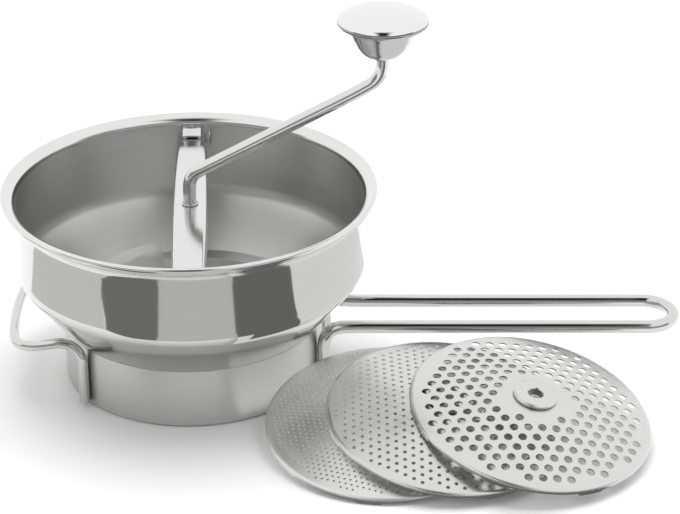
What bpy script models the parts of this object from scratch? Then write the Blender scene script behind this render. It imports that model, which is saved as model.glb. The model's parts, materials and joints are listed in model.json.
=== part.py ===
"""Hand cranked food mill with three loose discs, as separate pieces.

Units are metres, +Z is up.  The mill's own axis stands at (MILL_X, MILL_Y); the
origin is the middle of the whole object's footprint, on the table.
All driving dimensions below are in millimetres and are turned into metres by MM.
"""
import bpy
import bmesh
import math
from mathutils import Vector, Matrix

MM = 0.001

# ---------------------------------------------------------------- dimensions
MILL_X = -98.7787              # mill axis in the part's frame
MILL_Y = 29.6514

SEG = 48                    # segments of the big turned pieces
WALL = 1.0                  # sheet thickness of the bowl
RIM_R = 120.0               # outer radius of the rolled lip
RIM_Z = 129.2               # height of the lip
BOWL_R = 112.4              # outer radius of the bowl's upright wall
SKIRT_R = 84.0              # outer radius of the base ring
SKIRT_TOP = 39.9
LEDGE_Z = 41.3              # top of the ledge that a disc lies on
LEDGE_R = 72.0              # clear radius of the outlet

HANDLE_WIRE = 4.25          # radius of the long handle's wire
HANDLE_Z = 36.5
HANDLE_HALF = 18.2          # half distance between the two rails
HANDLE_END = 317.8          # outermost point from the mill axis
HANDLE_FOOT = 23.0          # half distance between the welded feet

HELPER_WIRE = 3.35          # radius of the helper handle's wire
HELPER_AZ = 220.0           # azimuth of its front foot

BAR_TURN = 2.6              # crossbar's turn from the handle's normal, degrees
BAR_TOP = 115.8
BAR_HALF = 108.3            # half length
BAR_W = 11.2                # half width in the middle
BAR_W_END = 9.8
BAR_T = 1.3
BAR_FLANGE = 9.0

ROD_R = 4.2                 # crank rod
ROD_TIP = 47.5
CRANK_R = 122.2             # knob axis from the mill axis
KNOB_R = 28.7
KNOB_Z = 239.9              # height of the knob's widest line
KNOB_DOME = 8.8

DISC_R = 76.0
DISC_FLANGE = 1.9           # turned-down edge below the rim plane
DISC_TAB = 3.4              # and its eight tabs
DISC_T = 0.8
DISC_CONE = 12.0            # rise of the cone between rim and hub
DISC_HUB_UP = 2.7
DISC_FLAT_R = 20.0
DISC_EDGE_R = 73.4

# where the three loose discs lie: centre of the rim plane from the mill axis, and
# the slopes of that plane along X and Y
POSE_FINE = (125.13, -100.03, 14.57, -0.0160, -0.1448)
POSE_MEDIUM = (162.73, -102.92, 19.92, 0.0890, -0.1408)
POSE_COARSE = (213.57, -104.12, 23.62, 0.1657, -0.1381)


# ---------------------------------------------------------------- helpers
def wipe():
    for ob in list(bpy.data.objects):
        bpy.data.objects.remove(ob, do_unlink=True)


def material(name, color, rough, metal):
    mat = bpy.data.materials.get(name)
    if mat is None:
        mat = bpy.data.materials.new(name)
        mat.use_nodes = True
        bsdf = mat.node_tree.nodes["Principled BSDF"]
        bsdf.inputs["Base Color"].default_value = (*color, 1.0)
        bsdf.inputs["Roughness"].default_value = rough
        bsdf.inputs["Metallic"].default_value = metal
    return mat


def add(name, bm, parent, mat, sharp=35.0, matrix=None):
    """Make an object from a bmesh given in millimetres of its parent's frame."""
    bmesh.ops.remove_doubles(bm, verts=bm.verts, dist=1e-4)
    bmesh.ops.recalc_face_normals(bm, faces=bm.faces)
    if bm.calc_volume(signed=True) < 0:
        bmesh.ops.reverse_faces(bm, faces=bm.faces)
    bmesh.ops.scale(bm, vec=(MM, MM, MM), verts=bm.verts)
    me = bpy.data.meshes.new(name)
    bm.to_mesh(me)
    bm.free()
    me.shade_smooth()
    me.set_sharp_from_angle(angle=math.radians(sharp))
    ob = bpy.data.objects.new(name, me)
    bpy.context.scene.collection.objects.link(ob)
    ob.data.materials.append(mat)
    ob.parent = parent
    if matrix is not None:
        ob.matrix_local = matrix
    return ob


def empty(name, parent=None, loc=(0, 0, 0), rot=None):
    ob = bpy.data.objects.new(name, None)
    bpy.context.scene.collection.objects.link(ob)
    ob.parent = parent
    m = Matrix.Translation(Vector(loc) * MM)
    if rot is not None:
        m = m @ rot
    ob.matrix_local = m
    return ob


def turned(profile, seg, closed=True, centre=(0.0, 0.0)):
    """Turn an (r, z) profile about a vertical axis.

    A closed profile gives a ring; an open one starts and ends on the axis."""
    bm = bmesh.new()
    rings = []
    for r, z in profile:
        if r < 1e-6:
            rings.append([bm.verts.new((centre[0], centre[1], z))])
        else:
            rings.append([bm.verts.new((centre[0] + r * math.cos(2 * math.pi * k / seg),
                                        centre[1] + r * math.sin(2 * math.pi * k / seg), z))
                          for k in range(seg)])
    n = len(rings)
    pairs = [(i, (i + 1) % n) for i in range(n if closed else n - 1)]
    for i, j in pairs:
        a, b = rings[i], rings[j]
        for k in range(seg):
            m = (k + 1) % seg
            if len(a) == 1 and len(b) == 1:
                continue
            if len(a) == 1:
                bm.faces.new((a[0], b[k], b[m]))
            elif len(b) == 1:
                bm.faces.new((a[k], b[0], a[m]))
            else:
                bm.faces.new((a[k], b[k], b[m], a[m]))
    return bm


def tube(points, radius, sides, bm=None, start_taper=1.0, end_taper=1.0):
    """Sweep a round section along points, with flat caps."""
    own = bm is None
    if own:
        bm = bmesh.new()
    pts = [Vector(p) for p in points]
    n = len(pts)
    tang = []
    for i in range(n):
        t = pts[min(i + 1, n - 1)] - pts[max(i - 1, 0)]
        tang.append(t.normalized())
    up = Vector((0, 0, 1)) if abs(tang[0].z) < 0.9 else Vector((0, 1, 0))
    side = tang[0].cross(up).normalized()
    rings = []
    for i in range(n):
        side = (side - tang[i] * side.dot(tang[i])).normalized()
        other = tang[i].cross(side).normalized()
        rad = radius * (start_taper if i == 0 else end_taper if i == n - 1 else 1.0)
        rings.append([bm.verts.new(pts[i] + rad * (math.cos(2 * math.pi * k / sides) * side
                                                   + math.sin(2 * math.pi * k / sides) * other))
                      for k in range(sides)])
    for i in range(n - 1):
        for k in range(sides):
            m = (k + 1) % sides
            bm.faces.new((rings[i][k], rings[i][m], rings[i + 1][m], rings[i + 1][k]))
    bm.faces.new(list(reversed(rings[0])))
    bm.faces.new(rings[-1])
    return bm


def smooth_path(ctrl, step):
    """Points read at even steps along a centripetal spline through ctrl."""
    c = [Vector(p) for p in ctrl]
    c = [c[0] * 2 - c[1]] + c + [c[-1] * 2 - c[-2]]
    out = []
    for i in range(1, len(c) - 2):
        p0, p1, p2, p3 = c[i - 1], c[i], c[i + 1], c[i + 2]
        t0 = 0.0
        t1 = t0 + max((p1 - p0).length, 1e-6) ** 0.5
        t2 = t1 + max((p2 - p1).length, 1e-6) ** 0.5
        t3 = t2 + max((p3 - p2).length, 1e-6) ** 0.5
        m = max(1, int(round((p2 - p1).length / step)))
        for k in range(m):
            t = t1 + (t2 - t1) * k / m
            a1 = p0 * ((t1 - t) / (t1 - t0)) + p1 * ((t - t0) / (t1 - t0))
            a2 = p1 * ((t2 - t) / (t2 - t1)) + p2 * ((t - t1) / (t2 - t1))
            a3 = p2 * ((t3 - t) / (t3 - t2)) + p3 * ((t - t2) / (t3 - t2))
            b1 = a1 * ((t2 - t) / (t2 - t0)) + a2 * ((t - t0) / (t2 - t0))
            b2 = a2 * ((t3 - t) / (t3 - t1)) + a3 * ((t - t1) / (t3 - t1))
            out.append(b1 * ((t2 - t) / (t2 - t1)) + b2 * ((t - t1) / (t2 - t1)))
    out.append(c[-2])
    return out


def prism(outline, axis, lo, hi, bm=None):
    """Extrude a closed outline.  axis 'w': outline is (u, z) and w runs lo..hi."""
    if bm is None:
        bm = bmesh.new()
    def place(p, q):
        if axis == "w":
            return (q, p[0], p[1])      # local x = w, local y = u
        if axis == "z":
            return (p[0], p[1], q)
        return (p[0], q, p[1])
    a = [bm.verts.new(place(p, lo)) for p in outline]
    b = [bm.verts.new(place(p, hi)) for p in outline]
    n = len(outline)
    for i in range(n):
        j = (i + 1) % n
        bm.faces.new((a[i], a[j], b[j], b[i]))
    bm.faces.new(list(reversed(a)))
    bm.faces.new(b)
    return bm


def cutter(name, bm, parent, matrix=None):
    ob = add(name, bm, parent, material("guide", (0.8, 0.2, 0.2), 0.5, 0.0), matrix=matrix)
    ob.hide_render = True
    ob.display_type = 'WIRE'
    return ob


def cut(ob, tool):
    mod = ob.modifiers.new("cut", 'BOOLEAN')
    mod.operation = 'DIFFERENCE'
    mod.solver = 'EXACT'
    mod.object = tool


def ring(r_in, r_out, z0, z1, seg):
    return turned([(r_in, z0), (r_out, z0), (r_out, z1), (r_in, z1)], seg)


# ---------------------------------------------------------------- scene
wipe()

POLISHED = material("polished_steel", (0.72, 0.72, 0.71), 0.12, 1.0)
SATIN = material("satin_steel", (0.62, 0.62, 0.61), 0.32, 1.0)
DISCS = material("disc_steel", (0.70, 0.70, 0.69), 0.28, 1.0)
SPRING = material("spring_steel", (0.50, 0.50, 0.50), 0.3, 1.0)
BRONZE = material("bearing_plastic", (0.80, 0.79, 0.76), 0.45, 0.0)

mill = empty("mill_axis", None, (MILL_X, MILL_Y, 0))

# ---------------------------------------------------------------- bowl
bowl_outer = [
    (84.2, 40.3), (93.6, 52.0), (106.8, 68.0), (109.9, 72.0), (111.6, 75.8), (BOWL_R - 0.1, 80.0),
    (BOWL_R - 0.1, 115.0), (112.8, 118.6), (114.4, 121.8), (116.9, 124.3), (119.3, 125.0),
    (RIM_R, 127.3), (118.3, RIM_Z),
]
bowl_inner = [
    (116.2, 128.5), (113.0, 126.5), (111.7, 124.8), (BOWL_R - 1.1, 122.0), (BOWL_R - 1.1, 80.1),
    (110.6, 76.2), (109.1, 72.6), (106.0, 68.6), (92.8, 52.6), (83.9, 42.0), (82.6, LEDGE_Z),
    (LEDGE_R, LEDGE_Z), (LEDGE_R, LEDGE_Z - WALL),
]
bowl = add("bowl_body", turned(bowl_outer + bowl_inner, SEG), mill, SATIN)

# ---------------------------------------------------------------- base ring
skirt_profile = [
    (SKIRT_R, SKIRT_TOP), (SKIRT_R, 2.4), (83.5, 0.8), (82.4, 0.0), (78.6, 0.0),
    (78.6, 1.0), (82.0, 1.0), (83.0, 2.4), (83.0, SKIRT_TOP),
]
skirt = add("base_skirt", turned(skirt_profile, SEG), mill, SATIN)

# three small lugs on the ledge that stop a disc from turning with the blade
for k in range(3):
    lug_turn = Matrix.Rotation(math.radians(30 + 120 * k), 4, 'Z')
    add("disc_lug_%d" % (k + 1),
        prism([(77.6, 41.6), (81.8, 41.6), (81.8, 42.6), (78.8, 42.6), (78.8, 45.0), (77.6, 45.0)],
              "y", -4.0, 4.0), mill, SATIN, sharp=25, matrix=lug_turn)

# ---------------------------------------------------------------- long handle
foot_x = math.sqrt((SKIRT_R + HANDLE_WIRE + 0.3) ** 2 - HANDLE_FOOT ** 2)
end_c = HANDLE_END - HANDLE_WIRE - HANDLE_HALF


def handle_half(sign):
    y = HANDLE_FOOT
    h = HANDLE_HALF
    return [(foot_x, sign * y, 3.0), (foot_x, sign * y, 14.0), (foot_x, sign * y, 26.0),
            (foot_x + 0.9, sign * (y - 0.3), 31.0), (foot_x + 4.0, sign * (y - 1.8), 35.0),
            (foot_x + 9.5, sign * (y - 3.7), HANDLE_Z - 0.1),
            (foot_x + 17.0, sign * (h + 0.3), HANDLE_Z), (foot_x + 26.0, sign * h, HANDLE_Z)]


path = smooth_path(handle_half(-1), 4.0)
path.append(Vector((end_c, -HANDLE_HALF, HANDLE_Z)))
for k in range(1, 10):
    a = -math.pi / 2 + math.pi * k / 10
    path.append(Vector((end_c + HANDLE_HALF * math.cos(a), HANDLE_HALF * math.sin(a), HANDLE_Z)))
path.append(Vector((end_c, HANDLE_HALF, HANDLE_Z)))
path += list(reversed(smooth_path(handle_half(1), 4.0)))
add("long_handle", tube(path, HANDLE_WIRE, 8, start_taper=0.85, end_taper=0.85), mill, POLISHED)

# ---------------------------------------------------------------- helper handle
hr = SKIRT_R + HELPER_WIRE + 0.3
hx = hr * math.cos(math.radians(HELPER_AZ))
hy = -hr * math.sin(math.radians(HELPER_AZ))
half = [(hx, -hy, 3.0), (hx, -hy, 16.0), (hx, -hy, 28.0), (hx - 0.4, -hy, 33.5),
        (hx - 3.0, -hy + 0.3, 39.4), (hx - 7.6, -hy + 0.7, 43.2), (hx - 13.5, -55.0, 44.6),
        (hx - 21.0, -55.0, 43.8), (hx - 29.0, -54.4, 42.4), (hx - 36.5, -51.8, 41.2),
        (hx - 42.0, -46.0, 40.4), (hx - 45.0, -37.5, 40.0), (hx - 47.0, -22.0, 39.8),
        (hx - 47.9, 0.0, 39.6)]
ctrl = half + [(x, -y, z) for x, y, z in reversed(half[:-1])]
add("helper_handle", tube(smooth_path(ctrl, 7.0), HELPER_WIRE, 8, start_taper=0.85, end_taper=0.85),
    mill, POLISHED)

# ---------------------------------------------------------------- crossbar and what holds it
turn = Matrix.Rotation(math.radians(BAR_TURN), 4, 'Z')
half_turn = Matrix.Rotation(math.pi, 4, 'Z')
bar_axis = empty("bar_axis", mill, (0, 0, 0), turn)
bracket_front_axis = empty("bracket_front_axis", mill, (0, 0, 0), turn @ half_turn)
bracket_back_axis = empty("bracket_back_axis", mill, (0, 0, 0), turn)

bracket = [(110.5, 104.0), (110.5, 124.6), (109.3, 124.6), (109.3, 121.0), (103.9, 117.7),
           (103.9, 116.5), (104.5, 116.5), (109.3, 119.4), (109.3, 104.0)]
for nm, par in (("bracket_back", bracket_back_axis), ("bracket_front", bracket_front_axis)):
    add(nm, prism(bracket, "w", -6.2, 6.2), par, POLISHED, sharp=25)

for nm, par in (("bar_stop_back", bracket_back_axis), ("bar_stop_front", bracket_front_axis)):
    add(nm, prism([(105.5, 108.5), (109.4, 107.0), (109.4, 119.2), (105.5, 117.6)], "w", 11.6, 12.6),
        par, SATIN, sharp=25)


def bar_section(hw):
    t = BAR_T
    f = BAR_FLANGE
    return [(-hw, -f), (-hw, -2.6), (-hw + 0.8, -0.8), (-hw + 2.6, 0.0),
            (hw - 2.6, 0.0), (hw - 0.8, -0.8), (hw, -2.6), (hw, -f),
            (hw - t, -f), (hw - t, -2.9), (hw - t - 0.5, -1.8), (hw - t - 1.7, -t),
            (-hw + t + 1.7, -t), (-hw + t + 0.5, -1.8), (-hw + t, -2.9), (-hw + t, -f)]


bm = bmesh.new()
stations = [-1.0, -0.93, -0.66, -0.33, 0.0, 0.33, 0.66, 0.93, 1.0]
rings = []
for s in stations:
    hw = BAR_W + (BAR_W_END - BAR_W) * s * s - (1.6 if abs(s) == 1.0 else 0.0)
    rings.append([bm.verts.new((x, s * BAR_HALF, BAR_TOP + z)) for x, z in bar_section(hw)])
for a, b in zip(rings[:-1], rings[1:]):
    for k in range(len(a)):
        m = (k + 1) % len(a)
        bm.faces.new((a[k], a[m], b[m], b[k]))
bm.faces.new(list(reversed(rings[0])))
bm.faces.new(rings[-1])
bar = add("crossbar", bm, bar_axis, POLISHED)
cut(bar, cutter("bar_hole", turned([(0, 110), (5.35, 110), (5.35, 120), (0, 120)], 20, closed=False), bar_axis))

add("bar_bush", turned([(4.5, 112.9), (6.8, 112.9), (6.8, 114.1), (5.05, 114.1), (5.05, 116.0),
                        (4.5, 116.0)], 20), bar_axis, BRONZE)
add("upper_spring_seat", ring(4.7, 8.8, 111.5, 112.6, 20), bar_axis, SATIN)

# ---------------------------------------------------------------- spring
coil = []
turns, per = 7, 10
z0, z1 = 74.75, 110.4
for k in range(turns * per + 1):
    f = k / (turns * per)
    g = min(max((f - 0.09) / 0.82, 0.0), 1.0)
    a = 2 * math.pi * k / per
    coil.append((7.2 * math.cos(a), 7.2 * math.sin(a), z0 + (z1 - z0) * (0.06 * f + 0.94 * g)))
add("pressure_spring", tube(coil, 0.75, 5), bar_axis, SPRING)
add("lower_spring_seat", ring(4.55, 9.4, 72.3, 73.6, 20), bar_axis, SATIN)

# ---------------------------------------------------------------- crank, hub and blade
crank_axis = empty("crank_axis", mill)

slope = 0.5377
rod_ctrl = [(0, ROD_TIP), (0, 66.0), (0, 90.0), (0, 112.0), (0, 126.5), (0.5, 131.5), (2.6, 136.0),
            (6.2, 139.1), (11.0, 141.7)]
for r in (40.0, 72.0, 104.0):
    rod_ctrl.append((r, 141.7 + (r - 11.0) * slope))
rod_ctrl += [(111.2, 195.9), (117.0, 199.8), (120.6, 204.7), (122.0, 210.4), (CRANK_R, 215.0),
             (CRANK_R, 224.0), (CRANK_R, 232.4)]
rod_pts = [Vector((r, 0, z)) for r, z in rod_ctrl]
rod_fine = smooth_path(rod_pts, 9.0)
rod = add("crank_rod", tube(rod_fine, ROD_R, 12, start_taper=0.75, end_taper=0.85), crank_axis, POLISHED)

hub = add("blade_hub", turned([(4.5, 60.8), (8.8, 60.8), (8.8, 62.5), (13.0, 62.5), (13.0, 64.2),
                               (8.5, 64.8), (8.5, 71.4), (7.9, 72.0), (4.5, 72.0)], 24), crank_axis, SATIN)
pin_turn = Matrix.Rotation(math.pi / 2, 4, 'Y')
pin_place = Matrix.Translation(Vector((0, 0, 68.2)) * MM) @ pin_turn
pin_hole = cutter("pin_hole", turned([(0, -14), (1.5, -14), (1.5, 14), (0, 14)], 12, closed=False),
                  crank_axis, pin_place)
cut(rod, pin_hole)
cut(hub, pin_hole)
add("hub_pin", turned([(0, -8.3), (1.0, -8.3), (1.2, -8.0), (1.2, 8.0), (1.0, 8.3), (0, 8.3)], 12, closed=False),
    crank_axis, SATIN, matrix=pin_place)
add("rod_collar", turned([(4.5, 116.3), (5.0, 116.3), (5.2, 116.6), (5.2, 117.0), (5.0, 117.3),
                          (4.5, 117.3)], 20), crank_axis, POLISHED)

DISC_SEAT = LEDGE_Z + DISC_TAB + 0.3     # rim plane of a disc that is in place
BLADE_GAP = 3.0                          # blade's edge above that disc, with the crank at its lowest
BLADE_R = 74.0


def blade_under(r):
    if r > 20.0:
        return DISC_SEAT + BLADE_GAP + (DISC_EDGE_R - r) * (DISC_CONE - 1.0) / (DISC_EDGE_R - DISC_FLAT_R)
    edge = DISC_SEAT + BLADE_GAP + DISC_CONE - 1.0
    return edge + (61.2 - edge) * min(1.0, (20.0 - r) / 6.0)


def blade_inner(az):
    c, s = -math.cos(math.radians(az)), math.sin(math.radians(az))
    chord = 17.5 / max(c - 0.116 * s, 0.05)
    if az <= 152.0:
        return min(chord, BLADE_R - 0.8)
    f = min(1.0, (az - 152.0) / 14.0)
    return chord * (1 - f) + 9.3 * f


bm = bmesh.new()
azs = [110.5, 113, 116, 120, 125, 131, 138, 145, 152, 157, 162, 166, 174, 183, 192, 202, 212, 222, 232, 241, 250]
NR = 5
top, bot = [], []
for az in azs:
    a = math.radians(az)
    ri, ro = blade_inner(az), BLADE_R
    ra, rb = [], []
    for k in range(NR + 1):
        r = ri + (ro - ri) * k / NR
        f = max(0.0, min(1.0, (250.0 - az) / 110.0))
        rise = 1.2 * min(1.0, max(0.0, (r - 14.0) / 8.0)) + 4.3 * min(1.0, max(0.0, (r - 18.0) / 40.0))
        lift = (3 * f * f - 2 * f * f * f) * rise
        z = blade_under(r) + lift
        ra.append(bm.verts.new((r * math.cos(a), r * math.sin(a), z + 1.2)))
        rb.append(bm.verts.new((r * math.cos(a), r * math.sin(a), z)))
    top.append(ra)
    bot.append(rb)
n = len(azs)
for i in range(n - 1):
    for k in range(NR):
        bm.faces.new((top[i][k], top[i][k + 1], top[i + 1][k + 1], top[i + 1][k]))
        bm.faces.new((bot[i][k], bot[i + 1][k], bot[i + 1][k + 1], bot[i][k + 1]))
    bm.faces.new((top[i][0], top[i + 1][0], bot[i + 1][0], bot[i][0]))
    bm.faces.new((top[i][NR], bot[i][NR], bot[i + 1][NR], top[i + 1][NR]))
for i in (0, n - 1):
    for k in range(NR):
        bm.faces.new((top[i][k], bot[i][k], bot[i][k + 1], top[i][k + 1]))
add("pressing_blade", bm, crank_axis, SATIN)

# ---------------------------------------------------------------- knob
knob_axis = empty("knob_axis", crank_axis, (CRANK_R, 0, 0))
dome = []
for k in range(7):
    a = math.radians(90 - 15 * k)
    dome.append((KNOB_R * math.cos(a), KNOB_Z + KNOB_DOME * math.sin(a)))
dome[0] = (0.0, KNOB_Z + KNOB_DOME)
inner_dome = []
for k in range(5):
    a = math.radians(20 * k + 10)
    inner_dome.append(((KNOB_R - 1.0) * math.cos(a), KNOB_Z - 0.3 + (KNOB_DOME - 0.8) * math.sin(a)))
inner_dome[-1] = (0.0, KNOB_Z - 0.3 + KNOB_DOME - 0.8)
cap = dome + [(28.4, 238.8), (27.4, 238.2), (24.0, 238.2), (24.0, 239.1), (26.8, 239.4)] + inner_dome
add("knob_cap", turned(cap, 28, closed=False), knob_axis, POLISHED)
cup = [(24.2, 237.8), (23.7, 236.3), (21.4, 233.0), (18.6, 228.0), (16.6, 224.3), (14.2, 220.9), (11.4, 218.3),
       (8.4, 216.8), (5.0, 216.2), (5.0, 217.2), (8.0, 217.8), (10.8, 219.1), (13.4, 221.5), (15.7, 224.8),
       (17.7, 228.4), (20.5, 233.6), (22.8, 236.7), (23.3, 237.8)]
add("knob_cup", turned(cup, 28), knob_axis, POLISHED)
add("knob_bush", turned([(4.5, 218.6), (6.6, 218.6), (6.6, 229.4), (4.5, 229.4)], 20), knob_axis, BRONZE)
add("knob_clip", turned([(4.5, 229.8), (7.6, 229.8), (7.6, 230.8), (4.5, 230.8)], 20), crank_axis, SPRING,
    matrix=Matrix.Translation(Vector((CRANK_R, 0, 0)) * MM))


# ---------------------------------------------------------------- discs
def cone_top(r):
    if r <= DISC_FLAT_R:
        return DISC_CONE
    return DISC_CONE - (r - DISC_FLAT_R) * (DISC_CONE - 1.0) / (DISC_EDGE_R - DISC_FLAT_R)


def lattice(pitch, inner, outer, turn_deg, off=(0.0, 0.0)):
    """Centres of a staggered pattern inside a plain hub and a plain border."""
    t = math.radians(turn_deg)
    out = []
    m = int(outer / pitch) + 3
    for j in range(-m * 2, m * 2 + 1):
        for i in range(-m * 2, m * 2 + 1):
            x = pitch * (i + 0.5 * (j % 2))
            y = pitch * 0.8660254 * j
            p = (x * math.cos(t) - y * math.sin(t) + off[0], x * math.sin(t) + y * math.cos(t) + off[1])
            if inner <= math.hypot(p[0], p[1]) <= outer:
                out.append(p)
    return out


def disc(name, parent, pitch, hole, turn_deg, off, tab):
    seg = 48
    bm = bmesh.new()
    hole_r = 6.6
    rim = [bm.verts.new((DISC_EDGE_R * math.cos(2 * math.pi * k / seg),
                         DISC_EDGE_R * math.sin(2 * math.pi * k / seg), 0)) for k in range(seg)]
    mid = [bm.verts.new((hole_r * math.cos(2 * math.pi * k / 16),
                         hole_r * math.sin(2 * math.pi * k / 16), 0)) for k in range(16)]
    flat = [bm.verts.new((DISC_FLAT_R * math.cos(2 * math.pi * k / 16),
                          DISC_FLAT_R * math.sin(2 * math.pi * k / 16), 0)) for k in range(16)]
    loops = [rim, flat]
    for x, y in lattice(pitch, DISC_FLAT_R + hole + 1.5, DISC_EDGE_R - hole - 2.0, turn_deg, off):
        loops.append([bm.verts.new((x + hole * math.cos(math.pi / 4 + math.pi / 2 * k),
                                    y + hole * math.sin(math.pi / 4 + math.pi / 2 * k), 0)) for k in range(4)])
    edges = []
    for lp in loops:
        for a, b in zip(lp, lp[1:] + lp[:1]):
            edges.append(bm.edges.new((a, b)))
    bmesh.ops.triangle_fill(bm, use_beauty=True, use_dissolve=False, edges=edges)
    for k in range(16):
        m = (k + 1) % 16
        bm.faces.new((mid[k], mid[m], flat[m], flat[k]))
    for f in bm.faces:
        f.normal_update()
        if f.normal.z < 0:
            f.normal_flip()
    upper = list(bm.verts)
    low = {}
    for v in upper:
        low[v] = bm.verts.new((v.co.x, v.co.y, 0))
    border = [e for e in bm.edges if len(e.link_faces) == 1]
    top_faces = list(bm.faces)
    rim_set = set(rim)
    for f in top_faces:
        bm.faces.new([low[v] for v in reversed(f.verts)])
    for e in border:
        if e.verts[0] in rim_set and e.verts[1] in rim_set:
            continue
        f = e.link_faces[0]
        v0, v1 = e.verts
        vs = list(f.verts)
        i = vs.index(v0)
        if vs[(i + 1) % len(vs)] != v1:
            v0, v1 = v1, v0
        bm.faces.new((v1, v0, low[v0], low[v1]))
    for v in upper:
        r = math.hypot(v.co.x, v.co.y)
        z = cone_top(r)
        v.co.z = z
        low[v].co.z = z - DISC_T
    # turned-down edge with eight short tabs
    def rim_ring(r, zs):
        return [bm.verts.new((r * math.cos(2 * math.pi * k / seg), r * math.sin(2 * math.pi * k / seg), zs(k)))
                for k in range(seg)]
    def foot(k):
        return -DISC_TAB if ((k - tab) % 6) in (0, 1) else -DISC_FLANGE
    chain = [rim, rim_ring(DISC_R - 0.8, lambda k: 0.1), rim_ring(DISC_R, lambda k: -0.9), rim_ring(DISC_R, foot),
             rim_ring(DISC_R - DISC_T, foot), rim_ring(DISC_R - DISC_T, lambda k: -1.2),
             [low[v] for v in rim]]
    for a, b in zip(chain[:-1], chain[1:]):
        for k in range(seg):
            m = (k + 1) % seg
            bm.faces.new((a[k], b[k], b[m], a[m]))
    return add(name, bm, parent, DISCS, sharp=30)


def hub_ring(name, parent):
    z = DISC_CONE
    return add(name, turned([(4.7, z - 2.4), (6.2, z - 2.4), (6.2, z + 0.3), (13.9, z + 0.3), (13.9, z + 1.7),
                             (13.0, z + DISC_HUB_UP), (4.7, z + DISC_HUB_UP)], 24), parent, DISCS, sharp=30)


def disc_frame(pose):
    x, y, z, tx, ty = pose
    nrm = Vector((tx, ty, 1.0)).normalized()
    u = Vector((0, 1, 0)).cross(nrm).normalized()
    v = nrm.cross(u).normalized()
    return Matrix(((u.x, v.x, nrm.x, x * MM), (u.y, v.y, nrm.y, y * MM), (u.z, v.z, nrm.z, z * MM), (0, 0, 0, 1)))


for key, pose, pitch, hole, tdeg, off, tab in (("fine", POSE_FINE, 11.37, 1.8, 39.6, (-0.28, 1.80), 4),
                                          ("medium", POSE_MEDIUM, 11.62, 2.3, 31.5, (0.99, 2.05), 2),
                                          ("coarse", POSE_COARSE, 15.15, 3.8, 36.9, (-0.09, 1.93), 3)):
    e = empty("disc_%s_axis" % key, mill)
    e.matrix_local = disc_frame(pose)
    disc("disc_" + key, e, pitch, hole, tdeg, off, tab)
    hub_ring("disc_%s_hub" % key, e)

bpy.context.view_layer.update()
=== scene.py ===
"""Looks for the food mill: detailed meshes, procedural steel, floor, light and camera."""
import bpy
import bmesh
import json
import math
import numpy as np
from mathutils import Vector, Matrix
from mathutils.geometry import delaunay_2d_cdt


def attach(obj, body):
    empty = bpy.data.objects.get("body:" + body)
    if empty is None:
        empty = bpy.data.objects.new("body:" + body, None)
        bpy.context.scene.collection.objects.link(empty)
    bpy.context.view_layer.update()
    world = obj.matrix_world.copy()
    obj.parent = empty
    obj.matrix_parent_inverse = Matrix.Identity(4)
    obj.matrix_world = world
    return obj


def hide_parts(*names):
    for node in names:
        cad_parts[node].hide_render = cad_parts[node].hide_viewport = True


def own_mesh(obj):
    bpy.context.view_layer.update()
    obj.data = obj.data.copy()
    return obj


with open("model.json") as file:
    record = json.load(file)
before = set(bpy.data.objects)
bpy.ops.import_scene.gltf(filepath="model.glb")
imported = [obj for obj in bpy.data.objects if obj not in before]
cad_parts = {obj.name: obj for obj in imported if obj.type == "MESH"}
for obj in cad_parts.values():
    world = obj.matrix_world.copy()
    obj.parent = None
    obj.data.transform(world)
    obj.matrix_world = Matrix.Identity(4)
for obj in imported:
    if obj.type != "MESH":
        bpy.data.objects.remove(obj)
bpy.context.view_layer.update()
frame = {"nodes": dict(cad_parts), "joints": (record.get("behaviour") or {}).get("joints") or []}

MM = 0.001
joint = {j["name"]: j for j in frame["joints"]}
MILL = Vector(joint["crank_spin"]["pos_m"])          # mill axis on the table, metres
MILL.z = 0.0
KNOB_X = joint["knob_spin"]["pos_m"][0] - MILL.x     # knob axis from the mill axis

# ------------------------------------------------------------------ camera
cam_data = bpy.data.cameras.new("camera")
cam = bpy.data.objects.new("camera", cam_data)
bpy.context.scene.collection.objects.link(cam)
cam_data.sensor_fit = 'HORIZONTAL'
cam_data.sensor_width = 36.0
cam_data.lens = 123.92
cam_data.clip_start = 0.05
cam_data.clip_end = 50.0
cam.location = (MILL.x + 0.0958, MILL.y - 1.35248, 0.75451)
cam.rotation_euler = (math.pi / 2 - 0.4639, 0.0, 0.0)
bpy.context.scene.camera = cam
bpy.context.scene.view_settings.view_transform = 'Standard'


# ------------------------------------------------------------------ mesh helpers
def link(name, me, at=None, turn=None):
    ob = bpy.data.objects.new(name, me)
    bpy.context.scene.collection.objects.link(ob)
    m = Matrix.Translation(at if at is not None else Vector((0, 0, 0)))
    if turn is not None:
        m = m @ turn
    ob.matrix_world = m
    return ob


def keep_local(me):
    """Store each point's own coordinates, for pieces that are placed by moving their points."""
    co = np.zeros(len(me.vertices) * 3, dtype=np.float32)
    me.vertices.foreach_get("co", co)
    me.attributes.new("local", 'FLOAT_VECTOR', 'POINT').data.foreach_set("vector", co)


def make(name, verts, faces, mats, face_mats=None, at=None, turn=None, sharp=32.0, normals=None):
    """verts in millimetres; faces as tuples; normals, where given, is one vector per loop."""
    me = bpy.data.meshes.new(name)
    me.from_pydata([(x * MM, y * MM, z * MM) for x, y, z in verts], [], faces)
    for m in mats:
        me.materials.append(m)
    if face_mats is not None:
        me.polygons.foreach_set("material_index", face_mats)
    me.shade_smooth()
    if normals is not None:
        me.normals_split_custom_set(normals)
    else:
        me.set_sharp_from_angle(angle=math.radians(sharp))
    me.update()
    return link(name, me, at, turn)


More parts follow.
